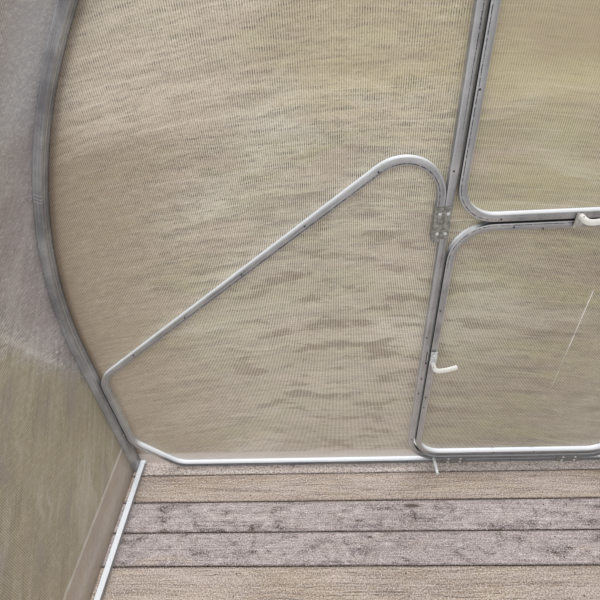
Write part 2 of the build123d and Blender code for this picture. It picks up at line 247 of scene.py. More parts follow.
class SheetFinish(Finish):
    # the sheet's patterns; what lies under the ribs' lines is laid on before what lies over them
    def __init__(self, name, look, onWall):
        super().__init__(name, look, IOR=1.58)
        self.across = self.x if onWall else self.y
        if onWall:
            # the smears, partly dirt and partly a painted sheen, lie in arcs: they rise on the left, lie
            # level in the middle and fall on the right
            self.level = self.z + (self.x - look["arcMiddle"]) ** 2.0 * look["arcBend"]
            self.film = self.noise(self.place, look["film"], 3.0, 0.7)
        else:
            # the cover is seen at a slant, so its specks run longer towards the end wall
            self.level = self.z + self.y * 0.35
            self.film = self.drawn(self.x * 210.0, self.y * 70.0, self.z * 150.0, 3.0, 0.7)
        self.warp = self.noise(self.vector(self.across * 1.3, 0.0, self.level * 4.0), 2.0, 3.0)
        swept, level = self.across * 4.0 + self.warp * 0.8, self.level * 42.0 + self.warp * 3.0
        self.streaks = self.drawn(swept, 0.0, level, 6.0, 0.66)
        self.threads, self.broad, self.tint, self.hue = map(self.smear, ("threads", "broad", "tint", "hue"))

    def smear(self, kind):
        side, seed, rise, pull, detail, rough = sheetSmears[kind]
        return self.drawn(self.across * side, seed, self.level * rise + self.warp * pull, detail, rough)

    def underWall(self):
        # painted shade darkens it towards the arch; it is bright and straw coloured up high, and blotched
        # with moss behind the brace
        look = self.look
        self.outer = abs(self.x)
        rise = (self.z - look["springing"]).most(0.0)
        self.reach = (self.x * self.x + rise * rise) ** 0.5
        high = self.ramp(self.z + self.streaks * 0.10 + (self.broad - 0.5) * 0.30, 1.44, 1.58)
        archShade = self.ramp(self.reach + self.streaks * 0.10, look["arch"] - 0.40, look["arch"] + 0.05)
        self.archShade = archShade * (1.0 - high) * (self.ramp(self.z, 0.40, 0.90) * 0.40 + 0.60)
        self.coat(self.archShade * 0.80, "brown")
        self.blush = high * self.ramp(self.outer, 0.70, 1.00)
        self.coat(self.blush * 0.30, "blush")
        straw = high * self.fall(self.outer + (self.hue - 0.5) * 0.30, 0.62, 0.90)
        self.straw = straw * self.fall(self.z + (self.tint - 0.5) * 0.50, 1.52, 1.86)
        self.coat(self.straw * 0.42, "straw")
        away = ((self.outer - 0.61) ** 2.0 * 1.1 + (self.z - 0.69) ** 2.0 * 0.6) ** 0.5
        self.near = self.fall(away, 0.28, 0.66)
        self.clump = self.ramp(self.smear("clump"), 0.51, 0.61) * self.near
        self.coat(self.clump * 0.38, "brown")
        low = self.fall(self.z, 0.25, 1.20)
        depth = self.clump * 0.56 + self.near * 0.16 + low * 0.18 + look["ribDepth"]
        return depth, self.near * 0.20 + low * 0.20 + look["ribCrest"]

    def overWall(self):
        look = self.look
        # more painted shade towards the arch
        self.coat(self.archShade * 0.50, "brown")
        self.coat(self.blush * 0.16, "blushOver")
        self.coat(self.straw * 0.20, "strawOver")
        cap = self.ramp(self.z + self.streaks * 0.05, 1.545, 1.585)
        cap = cap * self.fall(self.outer + (self.broad - 0.5) * 0.8, 0.60, 1.00)
        cap = cap * self.fall(self.z + (self.tint - 0.5) * 0.9, 1.62, 1.86)
        self.coat(cap * (self.ramp(self.hue, 0.42, 0.60) * 0.7 + 0.3) * 0.50, "brown")
        self.coat(self.clump * 0.16, "brown")
        self.coat(self.near * (1.0 - self.clump) * 0.13, "light")
        # darker along the arch's edge, with a near black line at it, and paler on the lowest hand's breadth
        grime = self.ramp(self.reach + self.threads * 0.006, look["arch"] - 0.018, look["arch"] - 0.001)
        self.coat(grime * 0.50, "grime")
        lowPale = self.fall(self.z + self.threads * 0.006, floorTop + 0.062, floorTop + 0.074)
        self.coat(lowPale * 0.72, "dust")

    def overCover(self):
        # a pale wipe slants down to the end arch, the sheet is mauve above it and olive below
        look = self.look
        slant = self.z - self.y * 0.9
        gust = self.drawn(self.y * 3.4, 51.0, slant * 6.0 + self.warp, 4.0, 0.6)
        strokes = self.drawn(self.y * 3.0 + self.z * 3.0, 55.0, slant * 46.0, 4.0, 0.6)
        above = self.z + self.y.most(-0.24) * 1.6875 - 0.684
        height = above + self.streaks * 0.12
        self.lay(height, 0.11, -0.05, 0.66, "moss")
        self.lay(gust, 0.50, 0.62, 0.42, "brown")
        self.lay(gust, 0.48, 0.36, 0.20, "light")
        self.lay(strokes, 0.54, 0.66, 0.14, "light")
        self.lay(strokes, 0.46, 0.34, 0.20, "shade")
        wipe = self.band(above, 0.003, 0.030) * self.fall(self.y, -0.12, -0.05)
        wipe = wipe * self.ramp(self.y, -0.46, -0.26)
        self.coat(wipe * self.ramp(self.streaks, 0.30, 0.55) * 0.231, "light")
        self.lay(height, 0.06, 0.18, 0.42, "mauve")
        # by the end arch it is blue grey up high, and a line of dust lies on the rail's edge
        crown = self.ramp(self.z + self.streaks * 0.10, 1.50, 1.60) * self.band(self.y, 0.10, 0.24)
        self.coat(crown * 0.50, "sky")
        self.coat(crown * self.ramp(self.film, 0.44, 0.62) * 0.24, "light")
        self.lay(self.z, 0.300, 0.285, 0.55, "earth")
        edge = self.band(self.z - 0.300, 0.003, 0.010)
        self.coat(edge * self.ramp(self.threads, 0.34, 0.52) * 0.60, "light")
        # the arches and purlins show through as bands of painted shade
        for arch in ("end_arch", "middle_arch", "joint_arch"):
            away = self.y - (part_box(arch)[0].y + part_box(arch)[1].y) / 2
            self.coat(self.band(away, 0.016, 0.024) * 0.34, "shade")
        turn = abs(self.x.work("ARCTAN2", self.x, self.z - look["springing"]))
        for angle in (0.0, math.radians(look["purlin"])):
            self.coat(self.band((turn - angle) * 1.5, 0.007, 0.015) * 0.26, "shade")

    def scratch(self):
        # one long pale scratch, fainter in its lower part
        faint = self.drawn(self.x * 3.0, 0.0, self.z * 22.0, 3.0)
        line = self.band(self.x - 0.053, 0.0008, 0.0021)
        height = self.z - floorTop
        upper = self.ramp(height, 0.56, 0.62) * self.fall(height, 0.81, 0.83)
        lower = self.ramp(height, 0.40, 0.44) * self.fall(height, 0.56, 0.62)
        self.coat(line * (upper + lower * 0.35) * self.ramp(faint, 0.28, 0.5), "scratch")


def sheetFinish(name, look, onWall=True, scratch=False):
    made = SheetFinish(name, look, onWall)
    made.colour = made.blend(made.ramp(made.streaks, 0.32, 0.68), look["deep"], look["pale"])
    made.lay(made.hue, 0.44, 0.62, 0.62, "rose")
    made.lay(made.tint, 0.46, 0.62, look["green"], "olive")
    made.lay(made.broad, 0.46, 0.66, look["gloom"], "brown")
    made.lay(made.broad, 0.46, 0.32, 0.42, "light")
    depth, crest = made.underWall() if onWall else (look["ribDepth"], look["ribCrest"])
    wipes = made.smear("wipes")
    made.lay(made.threads, 0.55, 0.72, 0.40, "light")
    made.lay(wipes, 0.58, 0.70, look["wipes"], "light")
    made.lay(wipes, 0.42, 0.32, look["wipes"] * 0.6, "shade")
    made.lay(made.threads, 0.46, 0.28, 0.24, "shade")
    # marks that break up the ribs' lines, each rib on its own
    each = (made.across / look["ribPitch"]).whole()
    tick = made.drawn(each * 0.73, 9.0, made.level * 190.0, 3.0, 0.65)
    patch = made.ramp(made.smear("blotch"), 0.50, 0.64) * look["marks"]
    specks = made.ramp(tick, 0.46, 0.64) * look["marks"]
    made.coat(patch * 0.26, "shade")
    rows = made.smear("rows")
    made.lay(rows, 0.54, 0.68, look["rows"], "light")
    made.lay(rows, 0.47, 0.34, look["rows"], "shade")
    rib = made.across.work("SINE", made.across * (2 * math.pi / look["ribPitch"]))
    dark = patch * (specks * 0.30 + 0.46) + specks * 0.34 + depth
    made.lay(rib, -0.10, 0.90, dark, "shade")
    made.lay(rib * -1.0, 0.05, 0.95, patch * 0.16 + crest, "light")
    made.lay(made.film, 0.54, 0.72, look["speckle"], "light")
    made.lay(made.film, 0.46, 0.30, look["speckle"] * 0.8, "shade")
    if onWall:
        made.overWall()
    else:
        made.overCover()
    if scratch:
        made.scratch()
    made.set("Base Color", made.colour)
    dust = made.noise(made.place, 60.0, 4.0, 0.6)
    made.set("Roughness", look["gloss"] + dust * 0.26)
    made.set("Alpha", look["alpha"])
    made.bump(rib * 0.6 + dust * 0.3, 0.35, 0.0006)
    return made.material


# Galvanised tube: grey faces, painted top light that makes what faces up pale, and a dark weld seam along
# each front
tubeLook = {
    "pale": (0.54, 0.535, 0.545), "deep": (0.265, 0.26, 0.275), "cool": (0.32, 0.345, 0.385),
    "bloomAndTopLight": (0.865, 0.90, 0.945), "line": (0.035, 0.035, 0.042), "arris": (0.72, 0.735, 0.76),
    "bore": (0.012, 0.012, 0.013), "edgeDark": (0.13, 0.135, 0.16), "lowPale": (0.72, 0.705, 0.69),
    "shadow": (0.13, 0.145, 0.165), "slate": (0.15, 0.16, 0.20),
    "half": 0.01, "meeting": 1.195, "scratches": (1.322, 1.332, 1.343),
    "rolled": ((-0.010, 0.0012), (0.002, 0.0022), (0.0105, 0.0012))}


def tubeFinish(name, look, swept=False, inward=1, seamAt=0.0, darkSide=0, wide=False):
    made = Finish(name, look)
    facing = made.add("ShaderNodeNewGeometry", out="Normal")
    upward = made.add("ShaderNodeSeparateXYZ", {}, {"Vector": facing}, out="Z")
    spangle = made.cells(made.place, 95.0, out="Color")
    spark = made.add("ShaderNodeSeparateColor", {}, {"Color": spangle}, out="Red")
    cloud = made.noise(made.place, 8.0, 5.0, 0.62)
    fleck = made.noise(made.place, 330.0, 3.0, 0.68)
    made.colour = made.blend(made.ramp(cloud, 0.34, 0.66), look["deep"], look["pale"])
    made.coat(spark * 0.30, "cool")
    made.lay(fleck, 0.56, 0.74, 0.46, "line")
    narrow = swept and not wide
    if swept:
        # u lies in the plane of the bend, and v runs through it from the room to the wall
        section = made.add("ShaderNodeAttribute", {"attribute_name": "section"}, out="Vector")
        u = made.add("ShaderNodeSeparateXYZ", {}, {"Vector": section}, out="X")
        v = Wire(u.socket.node.outputs["Y"])
        streak = made.drawn((made.x + made.z) * 2.4, u * 620.0, v * 620.0, 4.0, 0.6)
        made.lay(streak, 0.54, 0.72, 0.46, "arris")
        made.lay(streak, 0.45, 0.30, 0.42, "line")
        waver = (made.noise(made.place, 26.0, 3.0) - 0.5) * 0.0016
        broken = made.ramp(made.noise(made.place, 110.0, 4.0, 0.7), 0.38, 0.54)
    if wide:
        # rolled lines along the wide face, darker towards its outer edge with a near black line there, and
        # three scratches
        for at, width in look["rolled"]:
            made.coat(made.band(v - at + waver, 0.0004, width) * broken * 0.60, "line")
        made.coat(made.band(v + 0.004 + waver, 0.0005, 0.0030) * 0.26, "arris")
        made.lay(v, 0.0110, 0.0150, 0.50, "edgeDark")
        made.lay(v, 0.0160, 0.0176, 0.90, "bore")
        for height in look["scratches"]:
            off = made.z - height - (made.y + 0.02) * 0.62 + (made.x + 1.40) * 0.5
            line = made.band(off, 0.0004, 0.0016) * made.ramp(made.y, -0.041, -0.036)
            line = line * made.fall(made.y, -0.010, -0.003) * made.x.work("LESS_THAN", made.x, 0.0)
            made.coat(line * 0.75, "arris")
    if narrow:
        # across the front: painted highlights in pale bands along both arrises, painted shade in a darker
        # band on the inner half, and a dark weld seam
        q = u * float(inward)
        front = made.fall(look["half"] - abs(v), 0.0001, 0.0012)
        made.coat(front * 0.26, "arris")
        made.lay(q, -0.0030, -0.0088, front * 0.40, "arris")
        made.lay(q, -0.001, 0.004, front * 0.34, "deep")
        seam = made.band(q - seamAt + waver, 0.0007, 0.0017)
        made.coat(seam * broken * front * 0.88, "line")
        if abs(seamAt) > 0.005:
            # slate coloured band along the loops' fronts
            slate = made.ramp(made.noise(made.place, 4.5, 3.0), 0.44, 0.58)
            made.coat(slate * made.band(q + 0.0030, 0.0012, 0.0034) * front * 0.55, "slate")
        made.lay(q, 0.0074, 0.0088, front * 0.46, "arris")
    lowRun = made.fall(made.z, floorTop + 0.048, floorTop + 0.085)
    # paler flecks lower down the tubes
    paleBelow = made.fall(made.z, 0.30, 1.15) * (1.0 - lowRun)
    made.coat(paleBelow * made.ramp(fleck, 0.28, 0.56) * (0.28 if wide else 0.62), "lowPale")
    # painted light: what faces up is painted pale with pale flecks, and made less metallic and rougher
    bloomAndTopLight = made.ramp(upward + (cloud - 0.5) * 0.25, 0.16, 0.66)
    if narrow:
        made.coat(lowRun * (0.40 + made.ramp(streak, 0.42, 0.62) * 0.30), "shadow")
        bloomAndTopLight = bloomAndTopLight * (made.ramp(v, -0.0085, 0.0030) * 0.36 + 0.64)
    made.coat(bloomAndTopLight * 0.92, "bloomAndTopLight")
    made.coat(bloomAndTopLight * made.ramp(fleck, 0.60, 0.80) * 0.30, "pale")
    if darkSide:
        # painted shade darkens the tube's side in the narrow gap round a leaf; where the rolled corners part
        # at the meeting line none is painted
        away = abs(made.z - look["meeting"])
        if darkSide > 0:
            parted = made.fall(away, 0.050, 0.090)
        else:
            parted = made.fall(away, 0.085, 0.115) * made.ramp(away, 0.005, 0.016)
            parted = parted * made.fall(abs(made.x), 0.372, 0.380)
        side = made.ramp(u * float(darkSide), look["half"] - 0.0016, look["half"] - 0.0004)
        lit = made.ramp(upward, 0.3, 0.7) * lowRun
        made.coat(side * (1.0 - parted) * (1.0 - lit) * 0.94, "bore")
    if swept:
        # painted shade: the bore's faces are painted near black
        boreShade = made.add("ShaderNodeAttribute", {"attribute_name": "bore"}, out="Fac")
        made.coat(boreShade, "bore")
    made.set("Base Color", made.colour)
    made.set("Metallic", 0.62 - bloomAndTopLight * 0.42)
    made.set("Roughness", 0.34 + cloud * 0.16 + spark * 0.06 + bloomAndTopLight * 0.12)
    made.bump(fleck * 0.4 + cloud, 0.12, 0.0005)
    return made.material


plateLook = {"stain": (0.20, 0.17, 0.13)}


def plateFinish(name, pale, deep, metallic, rough, low=None):
    made = Finish(name, dict(plateLook, low=low), Metallic=metallic)
    mottle = made.noise(made.place, 120.0, 4.0, 0.65)
    stain = made.noise(made.place, 34.0, 3.0, 0.5)
    made.colour = made.blend(made.ramp(mottle, 0.35, 0.65), deep, pale)
    made.lay(stain, 0.58, 0.75, 0.35, "stain")
    if low:
        made.coat(made.fall(made.z, floorTop + 0.06, floorTop + 0.12) * 0.75, "low")
    made.set("Base Color", made.colour)
    made.set("Roughness", rough + mottle * 0.2)
    made.bump(mottle, 0.2, 0.0005)
    return made.material


leverLook = {"white": (0.86, 0.845, 0.80), "grime": (0.46, 0.42, 0.35), "bright": (0.91, 0.905, 0.885)}


def leverFinish(name, look):
    made = Finish(name, look, IOR=1.49)
    grime = made.noise(made.place, 45.0, 4.0, 0.6)
    cloud = made.noise(made.place, 12.0, 2.0)
    made.colour = made.blend(made.ramp(grime, 0.62, 0.84) * 0.4, look["white"], look["grime"])
    made.lay(cloud, 0.4, 0.7, 0.3, "bright")
    made.set("Base Color", made.colour)
    made.set("Roughness", 0.36 + grime * 0.2)
    made.bump(grime, 0.1, 0.0004)
    return made.material


# Weathered planks: grain runs along x, each plank has its own tone and dust
timberLook = {
    "pitch": 0.112, "width": 0.109, "edge": 0.073,
    "pale": (0.56, 0.455, 0.355), "deep": (0.215, 0.15, 0.105), "grey": (0.47, 0.40, 0.385),
    "knot": (0.075, 0.048, 0.035), "dust": (0.80, 0.74, 0.72), "sill": (0.80, 0.71, 0.69),
    "felt": (0.43, 0.365, 0.37), "mould": (0.15, 0.12, 0.125), "brown": (0.27, 0.185, 0.12),
    "rose": (0.60, 0.47, 0.43)}
# a mottle's rate along the grain, its rate across it, its seed, its detail and roughness
plankMottles = {
    "bloomAndTopLight": (4.2, 15.0, 0.0, 5.0, 0.66), "stain": (7.0, 34.0, 3.0, 4.0, 0.6),
    "spots": (34.0, 46.0, 0.0, 5.0, 0.68), "drift": (2.3, 9.0, 5.0, 3.0, 0.55),
    "wide": (11.0, 26.0, 9.0, 3.0, 0.55)}


def timberFinish(name, look, alongY=False, sill=False):
    made = Finish(name, look)
    count = (look["edge"] - made.y) / look["pitch"]
    row = (made.x * 2.0).whole() if alongY else count.whole()
    length, across = (made.y, made.x) if alongY else (made.x, made.y)
    tone = made.add("ShaderNodeTexWhiteNoise", {"noise_dimensions": "1D"}, {"W": row}, out="Value")
    shift = row * 7.31

    def mottle(kind):
        onward, side, seed, detail, rough = plankMottles[kind]
        return made.drawn(length * onward + shift, across * side, shift + seed, detail, rough)

    warp = made.drawn(length * 1.6 + shift, across * 6.0, made.z * 6.0 + shift, 3.0)
    grain = made.drawn(length * 3.4 + shift, across * 170.0 + warp * 8.0, made.z * 90.0, 6.0, 0.70)
    fibre = made.drawn(length * 22.0 + shift, across * 330.0, made.z * 330.0, 4.0, 0.70)
    bloomAndTopLight = mottle("bloomAndTopLight")
    speck = made.noise(made.place, 180.0, 4.0, 0.78)
    grit = made.noise(made.place, 230.0, 3.0, 0.74)
    knots = made.cells(made.vector(length * 2.1 + shift, across * 9.0, shift), 1.0)
    cracks = made.drawn(length * 1.3 + shift, across * 64.0 + warp * 4.0, shift, 2.0, 0.5)
    made.colour = made.blend(made.ramp(grain, 0.26, 0.62), look["deep"], look["pale"])
    made.lay(fibre, 0.46, 0.68, 0.50, "deep")
    made.lay(bloomAndTopLight, 0.36, 0.60, 0.35 + tone * 0.40, "grey")
    made.coat(made.ramp(mottle("stain"), 0.56, 0.70) * 0.46, "deep")
    drift = mottle("drift")
    made.lay(drift, 0.48, 0.62, 0.42, "brown")
    made.lay(drift, 0.46, 0.34, 0.26, "rose")
    lines = made.drawn(length * 5.0 + shift, across * 420.0 + warp * 14.0, shift, 3.0, 0.60)
    made.lay(lines, 0.46, 0.36, 0.42, "deep")
    crack = made.band(cracks - 0.5, 0.003, 0.012)
    made.coat(crack * 0.65, "knot")
    made.lay(speck, 0.50, 0.66, 0.42, "dust")
    if not alongY:
        # the third plank and a few others are felted: lilac grey under trodden dust, with dark mottles
        felted = row.work("COMPARE", row, 2.0, 0.1).most(tone.work("GREATER_THAN", tone, 0.72))
        made.coat(felted * made.ramp(bloomAndTopLight, 0.26, 0.42) * 0.82, "felt")
        patch = made.ramp(mottle("wide"), 0.50, 0.66)
        made.coat(felted * patch * 0.62, "mould")
        spots = mottle("spots")
        made.coat(felted * made.ramp(spots, 0.53, 0.60) * (0.34 + patch * 0.66), "knot")
        made.coat(felted * made.fall(spots, 0.34, 0.44) * 0.42, "dust")
        made.coat(felted * made.fall(lines, 0.38, 0.48) * 0.40, "mould")
        made.coat(felted * made.ramp(lines, 0.54, 0.64) * 0.34, "dust")
        # painted shade along each plank's edges, by the gaps
        rim = count - row
        rim = rim.least(look["width"] / look["pitch"] - rim) * look["pitch"]
        made.coat(made.fall(rim + (grain - 0.5) * 0.006, 0.0005, 0.0075) * 0.62, "knot")
    made.lay(grit, 0.54, 0.62, 0.72, "knot")
    made.lay(grit, 0.46, 0.38, 0.70, "dust")
    made.coat(made.fall(knots + (fibre - 0.5) * 0.05, 0.035, 0.10) * 0.85, "knot")
    if sill:
        made.coat(0.30, "sill")
        pebble = made.noise(made.place, 150.0, 3.0, 0.72)
        made.lay(pebble, 0.53, 0.60, 0.54, "knot")
        made.lay(pebble, 0.47, 0.40, 0.62, "dust")
    made.set("Base Color", made.colour)
    made.set("Roughness", 0.80 + fibre * 0.15)
    made.bump(grain * 0.7 + fibre * 0.35 + speck * 0.3 - crack * 0.5, 0.6, 0.0018)
    return made.material


finishes = {
    "twin_wall_sheet": sheetFinish("twinWallSheet", sheetLook),
    "galvanised_tube": tubeFinish("straightTube", tubeLook),
    "grey_zinc": plateFinish("greyZinc", (0.44, 0.435, 0.42), (0.20, 0.20, 0.19), 0.70, 0.42),
    "bright_zinc": plateFinish("brightZinc", (0.86, 0.88, 0.89), (0.70, 0.72, 0.73), 0.45, 0.24),
    "white_lever": leverFinish("whiteLever", leverLook),
    "timber": timberFinish("weatheredPlanks", timberLook),
}
coverLook = dict(sheetLook, pale=(0.40, 0.385, 0.385), deep=(0.20, 0.185, 0.18), olive=(0.30, 0.285, 0.25),
                 rose=(0.41, 0.37, 0.395), brown=(0.25, 0.22, 0.21), light=(0.80, 0.77, 0.73),
                 ribDepth=0.46, ribCrest=0.52, speckle=0.78, rows=0.40, gloom=0.34, gloss=0.10)
lowerLook = dict(sheetLook, pale=(0.51, 0.44, 0.325), deep=(0.25, 0.20, 0.135), rose=(0.45, 0.365, 0.285),
                 light=(0.82, 0.78, 0.66), marks=0.75, rows=0.30, ribDepth=0.20, ribCrest=0.40)
upperLook = dict(sheetLook, pale=(0.54, 0.475, 0.315), deep=(0.36, 0.305, 0.195), olive=(0.50, 0.455, 0.25),
                 light=(0.84, 0.80, 0.66), marks=0.40, green=0.70, gloom=0.3, ribDepth=0.12, ribCrest=0.38,
                 speckle=0.24, rows=0.12)
ownFinish = {
    "cover_sheet": sheetFinish("coverSheet", coverLook, onWall=False),
    "lower_leaf_sheet": sheetFinish("lowerLeafSheet", lowerLook, scratch=True),
    "upper_leaf_sheet": sheetFinish("upperLeafSheet", upperLook),
    "clamp_plates": plateFinish("clampZinc", (0.46, 0.455, 0.43), (0.22, 0.22, 0.205), 0.66, 0.42,
                                low=(0.30, 0.295, 0.30)),
    "frame_stud": plateFinish("studZinc", (0.88, 0.90, 0.90), (0.62, 0.66, 0.67), 0.25, 0.30),
    "lower_latch_tongue": plateFinish("tongueZinc", (0.84, 0.87, 0.88), (0.46, 0.48, 0.50), 0.35, 0.30),
    "upper_latch_tongue": plateFinish("upperTongueZinc", (0.60, 0.59, 0.56), (0.40, 0.39, 0.37), 0.45, 0.36),
    "floor_bearers": timberFinish("bearerTimber", timberLook, alongY=True),
    "sill_plank": timberFinish("sillTimber", timberLook, sill=True),
}
slotOf = {entry["node"]: entry["material_slot"] for entry in record["subparts"]}
for name, node in nodes.items():
    finish = ownFinish.get(name, finishes[slotOf[name]])
    if not node.material_slots:
        node.data.materials.append(finish)
    for socket in node.material_slots:
        socket.material = finish
    if slotOf[name] == "twin_wall_sheet":
        node.visible_shadow = False
        node.visible_diffuse = False
print("finishes on", len(nodes), "nodes")


# Arrises are eased by live modifiers, so the frame's own meshes stay as they are
arrises = {
    0.0018: ("left_base_rail", "right_base_rail", "ridge_purlin", "left_purlin", "right_purlin", "head_ties"),
    0.0016: ("floor_planks", "sill_plank"), 0.002: ("front_bearer", "floor_bearers"),
    0.0014: ("lower_inside_lever", "lower_outside_lever", "upper_inside_lever", "upper_outside_lever"),
    0.0004: ("post_hinges", "lower_leaf_hinges", "upper_leaf_hinges", "lower_latch_tongue",
             "upper_latch_tongue", "clamp_plates"),
    0.0008: ("clamp_bolts",), 0.0006: ("base_bolts",)}
eased = [(name, width) for width, names in arrises.items() for name in names]
for name, width in eased:
    node = nodes[name]
    weld = node.modifiers.new("weld", "WELD")
    weld.merge_threshold = 0.00001
    flat = node.modifiers.new("flat", "DECIMATE")
    flat.decimate_type = "DISSOLVE"
    flat.angle_limit = math.radians(1)
    ease = node.modifiers.new("ease", "BEVEL")
    ease.width = width
    ease.segments = 2
    ease.limit_method = "ANGLE"
    ease.angle_limit = math.radians(20 if "lever" in name else 35)
print("arrises eased on", len(eased), "nodes")


# Geometry Nodes recipes, cooked into plain meshes
class Recipe(Board):
    def __init__(self, name, **sizes):
        self.tree = bpy.data.node_groups.new(name, "GeometryNodeTree")
        face = self.tree.interface
        face.new_socket(name="Geometry", in_out="INPUT", socket_type="NodeSocketGeometry")
        for size, start in sizes.items():
            face.new_socket(name=size, in_out="INPUT", socket_type="NodeSocketFloat").default_value = start
        face.new_socket(name="Finish", in_out="INPUT", socket_type="NodeSocketMaterial")
        face.new_socket(name="Geometry", in_out="OUTPUT", socket_type="NodeSocketGeometry")
        self.start = self.tree.nodes.new("NodeGroupInput")

    def given(self, name):
        return Wire(self.start.outputs[name])

    def join(self, *parts):
        node = self.tree.nodes.new("GeometryNodeJoinGeometry")
        for part in parts:
            self.tree.links.new(part.socket, node.inputs[0])
        return Wire(node.outputs[0])

    def serve(self, shape):
        real = self.add("GeometryNodeRealizeInstances", {}, {"Geometry": shape})
        dressing = {"Geometry": real, "Material": self.given("Finish")}
        dressed = self.add("GeometryNodeSetMaterial", {}, dressing)
        end = self.tree.nodes.new("NodeGroupOutput")
        self.tree.links.new(dressed.socket, end.inputs[0])
        return self.tree


def cook(name, base, tree, finish, sizes, body):
    raw = shown(name + "Base", base)
    recipe = raw.modifiers.new("recipe", "NODES")
    recipe.node_group = tree
    for item in tree.interface.items_tree:
        if item.in_out == "INPUT" and item.name in sizes:
            recipe[item.identifier] = sizes[item.name]
        if item.in_out == "INPUT" and item.name == "Finish":
            recipe[item.identifier] = finish
    mesh = baked(raw)
    bpy.data.objects.remove(raw)
    return placed(name, mesh, finish, body)


def placed(name, mesh, finish, body):
    mesh.name = name
    mesh.materials.clear()
    mesh.materials.append(finish)
    piece = shown(name, mesh)
    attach(piece, body)
    return piece


# Tubes: a rounded square section that follows a path drawn flat and then stood up
def tubeRecipe():
    made = Recipe("tubeAlongPath", Width=0.02, Depth=0.02, Corner=0.0022, Wall=0.0012, Offset=0.0)
    line = made.add("GeometryNodeMeshToCurve", {}, {"Mesh": made.given("Geometry")})
    line = made.add("GeometryNodeSetCurveNormal", {"mode": "Z_UP"}, {"Curve": line})

    def skin(inset, corner):
        size = {"Width": made.given("Width") - inset * 2.0, "Height": made.given("Depth") - inset * 2.0}
        ring = made.add("GeometryNodeCurvePrimitiveQuadrilateral", {"mode": "RECTANGLE"}, size)
        ring = made.add("GeometryNodeFilletCurve", {"mode": "POLY"},
                        {"Curve": ring, "Count": 2, "Radius": corner, "Limit Radius": True})
        spot = made.add("GeometryNodeInputPosition")
        ring = made.add("GeometryNodeStoreNamedAttribute", {"data_type": "FLOAT_VECTOR", "domain": "POINT"},
                        {"Geometry": ring, "Name": "section", "Value": spot})
        return made.add("GeometryNodeCurveToMesh", {}, {"Curve": line, "Profile Curve": ring})

    zero = made.given("Wall") * 0.0
    outer = skin(zero, made.given("Corner"))
    inner = skin(made.given("Wall"), made.given("Corner") - made.given("Wall") * 0.8)
    inner = made.add("GeometryNodeStoreNamedAttribute", {"data_type": "INT", "domain": "FACE"},
                     {"Geometry": inner, "Name": "bore", "Value": 1})
    both = made.join(outer, inner)
    move = made.add("ShaderNodeCombineXYZ", {}, {"Y": made.given("Offset")})
    stood = made.add("GeometryNodeTransform", {},
                     {"Geometry": both, "Rotation": (math.pi / 2, 0.0, 0.0), "Translation": move})
    return made.serve(stood)


def flatPath(name, points, roll, closed=False, step=7.5):
    # corners rounded to the roll radius; an arc in a few short steps
    spots = []
    count = len(points)
    for index, here in enumerate(points):
        here = Vector(here)
        if not closed and index in (0, count - 1):
            spots.append(here)
            continue
        before = (Vector(points[index - 1]) - here).normalized()
        after = (Vector(points[(index + 1) % count]) - here).normalized()
        bend = math.pi - before.angle(after)
        reach = roll * math.tan(bend / 2)
        centre = here + (before + after).normalized() * (roll / math.cos(bend / 2))
        first = here + before * reach - centre
        turn = 1 if before.x * after.y - before.y * after.x < 0 else -1
        parts = max(2, round(math.degrees(bend) / step))
        for part in range(parts + 1):
            angle = turn * bend * part / parts
            spots.append(centre + Matrix.Rotation(angle, 2) @ first)
    mesh = bpy.data.meshes.new(name)
    last = len(spots)
    edges = [(k, (k + 1) % last) for k in range(last if closed else last - 1)]
    mesh.from_pydata([(spot.x, spot.y, 0) for spot in spots], edges, [])
    return mesh


def closeTube(mesh, closed):
    # an open tube gets a ring of faces at each end; a closed one keeps two shells, the bore's turned inwards
    shape = bmesh.new()
    shape.from_mesh(mesh)
    bore = shape.faces.layers.int["bore"]
    inside = [face for face in shape.faces if face[bore]]
    if not closed:
        bmesh.ops.reverse_faces(shape, faces=inside)
        ends = {}
        for edge in [edge for edge in shape.edges if edge.is_boundary]:
            middle = (edge.verts[0].co + edge.verts[1].co) / 2
            near = next((key for key in ends if (Vector(key) - middle).length < 0.05), None)
            ends.setdefault(near or tuple(middle), []).append(edge)
        for edges in ends.values():
            bmesh.ops.bridge_loops(shape, edges=edges)
    bmesh.ops.recalc_face_normals(shape, faces=shape.faces)
    if closed:
        bmesh.ops.reverse_faces(shape, faces=inside)
    shape.to_mesh(mesh)
    shape.free()


def cutAway(piece, outline, y0, y1):
    # a straight cut along y with the given outline, made with a cutter that is then removed
    count = len(outline)
    spots = [(x, y, z) for y in (y0, y1) for x, z in outline]
    sides = [(k, (k + 1) % count, (k + 1) % count + count, k + count) for k in range(count)]
    mesh = bpy.data.meshes.new("cutter")
    mesh.from_pydata(spots, [], sides + [tuple(range(count))[::-1], tuple(range(count, 2 * count))])
    # its faces are marked as bore, so the cut's walls take the bore's painted shade
    mesh.attributes.new("bore", "INT", "FACE").data.foreach_set("value", [1] * len(mesh.polygons))
    shape = bmesh.new()
    shape.from_mesh(mesh)
    bmesh.ops.recalc_face_normals(shape, faces=shape.faces)
    shape.to_mesh(mesh)
    shape.free()
    cutter = shown("cutter", mesh)
    cut = piece.modifiers.new("cut", "BOOLEAN")
    cut.operation = "DIFFERENCE"
    cut.solver = "EXACT"
    cut.object = cutter
    made = baked(piece)
    piece.modifiers.remove(cut)
    bpy.data.objects.remove(cutter)
    old = piece.data
    piece.data = made
    made.name = old.name + "Cut"
    bpy.data.meshes.remove(old)


